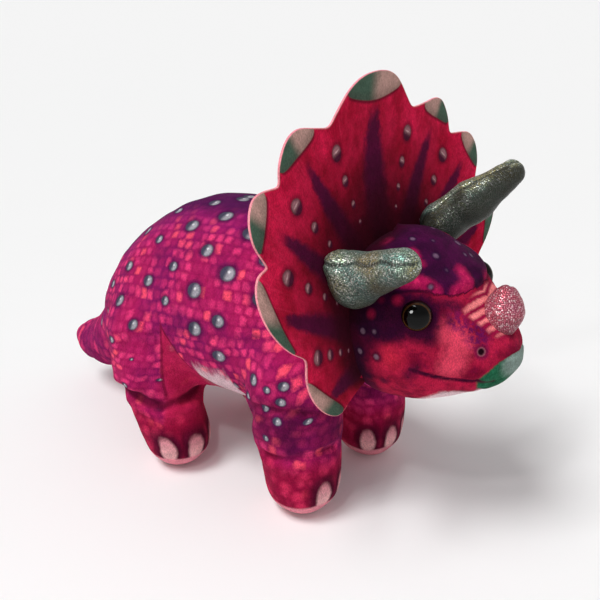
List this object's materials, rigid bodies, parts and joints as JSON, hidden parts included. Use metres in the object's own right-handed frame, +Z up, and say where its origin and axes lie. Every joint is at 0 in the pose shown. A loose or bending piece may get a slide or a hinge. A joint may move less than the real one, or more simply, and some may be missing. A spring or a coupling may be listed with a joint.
{
  "type": "stuffed dinosaur toy",
  "caption": "Plush three-horned dinosaur standing on four stuffed legs, with a scalloped neck frill, foil-cloth horns, glossy eyes and a drooping tail.",
  "frame": {"origin": "on the floor under the middle of the bounding box", "axes": "+X towards the nose, +Y towards the toy's left side, +Z up"},
  "size_m": [0.3507, 0.2338, 0.2465],
  "materials": {
    "body_plush": "matte",
    "belly_plush": "matte",
    "gusset_plush": "matte",
    "sole_plush": "matte",
    "face_plush": "matte",
    "beak_plush": "matte",
    "frill_front_plush": "matte",
    "frill_back_plush": "matte",
    "foam": "matte",
    "brow_foil_cloth": "satin",
    "nose_foil_cloth": "satin",
    "filling": "matte",
    "eye_dome": "gloss",
    "eye_core": "gloss",
    "washer": "matte"
  },
  "bodies": {
    "torso": {"torso_right_panel": "body_plush", "torso_left_panel": "body_plush", "torso_belly_panel": "belly_plush", "torso_filling": "filling"},
    "neck": {"neck_skin": "belly_plush", "neck_filling": "filling"},
    "head": {"head_right_cheek": "face_plush", "head_left_cheek": "face_plush", "head_forehead_panel": "face_plush", "head_chin_panel": "belly_plush", "head_beak_panel": "beak_plush", "head_filling": "filling", "right_eye_dome": "eye_dome", "right_eye_core": "eye_core", "right_eye_washer": "washer", "left_eye_dome": "eye_dome", "left_eye_core": "eye_core", "left_eye_washer": "washer"},
    "frill": {"frill_front_cloth": "frill_front_plush", "frill_foam": "foam", "frill_back_cloth": "frill_back_plush"},
    "right_horn": {"right_brow_horn_sleeve": "brow_foil_cloth", "right_brow_horn_filling": "filling"},
    "left_horn": {"left_brow_horn_sleeve": "brow_foil_cloth", "left_brow_horn_filling": "filling"},
    "nose_horn": {"nose_horn_sleeve": "nose_foil_cloth", "nose_horn_filling": "filling"},
    "tail": {"tail_right_panel": "body_plush", "tail_left_panel": "body_plush", "tail_filling": "filling"},
    "right_front_leg": {"right_front_leg_outer_panel": "body_plush", "right_front_leg_inner_panel": "gusset_plush", "right_front_leg_sole": "sole_plush", "right_front_leg_filling": "filling"},
    "right_hind_leg": {"right_hind_leg_outer_panel": "body_plush", "right_hind_leg_inner_panel": "gusset_plush", "right_hind_leg_sole": "sole_plush", "right_hind_leg_filling": "filling"},
    "left_front_leg": {"left_front_leg_outer_panel": "body_plush", "left_front_leg_inner_panel": "gusset_plush", "left_front_leg_sole": "sole_plush", "left_front_leg_filling": "filling"},
    "left_hind_leg": {"left_hind_leg_outer_panel": "body_plush", "left_hind_leg_inner_panel": "gusset_plush", "left_hind_leg_sole": "sole_plush", "left_hind_leg_filling": "filling"}
  },
  "joints": [
    {"name": "neck_turn", "type": "hinge", "parent": "torso", "child": "neck", "pos_m": [0.058, 0, 0.118], "axis": [0, 0, 1], "range_deg": [-16, 16], "stiffness_Nm_per_rad": 1.5},
    {"name": "neck_nod", "type": "hinge", "parent": "neck", "child": "head", "pos_m": [0.097, 0, 0.119], "axis": [0, 1, 0], "range_deg": [-10, 8], "stiffness_Nm_per_rad": 3},
    {"name": "frill_bend", "type": "hinge", "parent": "head", "child": "frill", "pos_m": [0.095, 0, 0.123], "axis": [0, 1, 0], "range_deg": [-18, 4], "stiffness_Nm_per_rad": 0.3},
    {"name": "right_horn_flex", "type": "hinge", "parent": "head", "child": "right_horn", "pos_m": [0.1025, -0.0493, 0.152], "axis": [0, 1, 0], "range_deg": [-12, 12], "stiffness_Nm_per_rad": 0.05},
    {"name": "left_horn_flex", "type": "hinge", "parent": "head", "child": "left_horn", "pos_m": [0.1065, 0.0445, 0.1615], "axis": [0, 1, 0], "range_deg": [-12, 12], "stiffness_Nm_per_rad": 0.05},
    {"name": "nose_horn_flex", "type": "hinge", "parent": "head", "child": "nose_horn", "pos_m": [0.162, 0, 0.1315], "axis": [0, 1, 0], "range_deg": [-10, 10], "stiffness_Nm_per_rad": 0.01},
    {"name": "right_front_leg_swing", "type": "hinge", "parent": "torso", "child": "right_front_leg", "pos_m": [0.0605, -0.037, 0.074], "axis": [0, 1, 0], "range_deg": [-15, 15], "stiffness_Nm_per_rad": 1},
    {"name": "right_hind_leg_swing", "type": "hinge", "parent": "torso", "child": "right_hind_leg", "pos_m": [-0.046, -0.039, 0.07], "axis": [0, 1, 0], "range_deg": [-15, 15], "stiffness_Nm_per_rad": 1},
    {"name": "left_front_leg_swing", "type": "hinge", "parent": "torso", "child": "left_front_leg", "pos_m": [0.0605, 0.037, 0.074], "axis": [0, 1, 0], "range_deg": [-15, 15], "stiffness_Nm_per_rad": 1},
    {"name": "left_hind_leg_swing", "type": "hinge", "parent": "torso", "child": "left_hind_leg", "pos_m": [-0.046, 0.039, 0.07], "axis": [0, 1, 0], "range_deg": [-15, 15], "stiffness_Nm_per_rad": 1},
    {"name": "tail_wag", "type": "hinge", "parent": "torso", "child": "tail", "pos_m": [-0.09, 0, 0.077], "axis": [0, 0, 1], "range_deg": [-20, 20], "stiffness_Nm_per_rad": 0.5}
  ]
}
